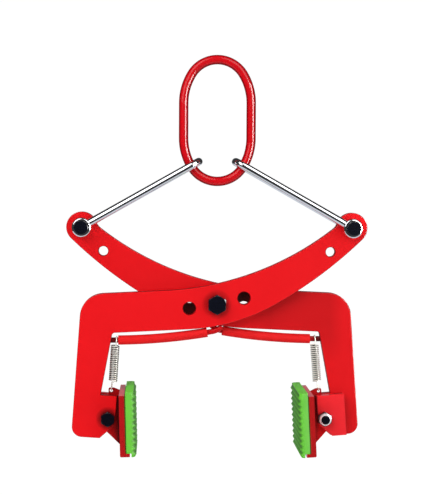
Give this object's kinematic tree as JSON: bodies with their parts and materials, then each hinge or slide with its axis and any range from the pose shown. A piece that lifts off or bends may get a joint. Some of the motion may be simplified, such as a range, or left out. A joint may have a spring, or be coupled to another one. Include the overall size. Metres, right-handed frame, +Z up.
{
  "type": "slab lifting clamp",
  "caption": "Scissor lifting clamp: crossed red plate arms hang by bright bails from an oblong link and close ribbed green pads on a slab's edges.",
  "frame": {"origin": "point inside the top of the master link where the crane hook bears", "axes": "+Z up along the line of lift, +X across the jaw opening, +Y away from the face with the bolt heads"},
  "size_m": [0.415, 0.1, 0.5491],
  "materials": {
    "red_paint": "gloss paint",
    "bright_rod": "bright plated",
    "black_bolt": "black oxide",
    "zinc_nut": "zinc plated",
    "spring_wire": "bright wire",
    "red_sleeve": "satin hose",
    "green_pad": "satin moulded"
  },
  "bodies": {
    "master_link": {"master_link": "red_paint"},
    "right_bail": {"right_bail": "bright_rod", "right_bail_bolt": "black_bolt", "right_bail_nut": "zinc_nut"},
    "front_arm": {"front_arm": "red_paint", "pivot_bolt": "black_bolt", "pivot_nut": "zinc_nut", "pivot_washer": "zinc_nut", "pivot_spacer": "zinc_nut", "left_stop_bar": "red_paint", "left_stop_sleeve": "red_sleeve", "left_jaw_cheek": "red_paint", "left_jaw_spacer": "red_paint", "left_jaw_bolt": "black_bolt", "left_jaw_nut": "zinc_nut", "left_spring": "spring_wire"},
    "back_arm": {"back_arm": "red_paint", "right_stop_bar": "red_paint", "right_stop_sleeve": "red_sleeve", "right_jaw_cheek": "red_paint", "right_jaw_spacer": "red_paint", "right_jaw_bolt": "black_bolt", "right_jaw_nut": "zinc_nut", "right_spring": "spring_wire"},
    "left_bail": {"left_bail": "bright_rod", "left_bail_bolt": "black_bolt", "left_bail_nut": "zinc_nut"},
    "left_grip": {"left_grip_plate": "red_paint", "left_grip_lug": "red_paint", "left_spring_tab": "red_paint", "left_grip_pad": "green_pad"},
    "right_grip": {"right_grip_plate": "red_paint", "right_grip_lug": "red_paint", "right_spring_tab": "red_paint", "right_grip_pad": "green_pad"}
  },
  "joints": [
    {"name": "arm_pivot", "type": "hinge", "parent": "front_arm", "child": "back_arm", "pos_m": [0, 0, -0.32956], "axis": [0, 1, 0], "range_deg": [-12, 54]},
    {"name": "right_bail_in_link", "type": "hinge", "parent": "master_link", "child": "right_bail", "pos_m": [0, 0, -0.119], "axis": [0, 1, 0], "range_deg": [-6, 27]},
    {"name": "right_bail_bolt_turn", "type": "hinge", "parent": "right_bail", "child": "front_arm", "pos_m": [0.18608, 0, -0.22428], "axis": [0, 1, 0], "range_deg": [-54, 12]},
    {"name": "left_bail_bolt_turn", "type": "hinge", "parent": "back_arm", "child": "left_bail", "pos_m": [-0.18608, 0, -0.22428], "axis": [0, 1, 0], "range_deg": [-54, 12]},
    {"name": "left_grip_tilt", "type": "hinge", "parent": "front_arm", "child": "left_grip", "pos_m": [-0.1495, 0, -0.48756], "axis": [0, 1, 0], "range_deg": [-6, 28], "stiffness_Nm_per_rad": 2, "springref_deg": -5.73, "deforming": ["left_spring"]},
    {"name": "right_grip_tilt", "type": "hinge", "parent": "back_arm", "child": "right_grip", "pos_m": [0.1495, 0, -0.48756], "axis": [0, -1, 0], "range_deg": [-10, 24], "stiffness_Nm_per_rad": 2, "springref_deg": -5.73, "deforming": ["right_spring"]}
  ],
  "couplings": [
    {"joint": "right_bail_in_link", "follows": "arm_pivot", "ratio": 0.5},
    {"joint": "right_bail_bolt_turn", "follows": "arm_pivot", "ratio": -1},
    {"joint": "left_bail_bolt_turn", "follows": "arm_pivot", "ratio": -1}
  ]
}
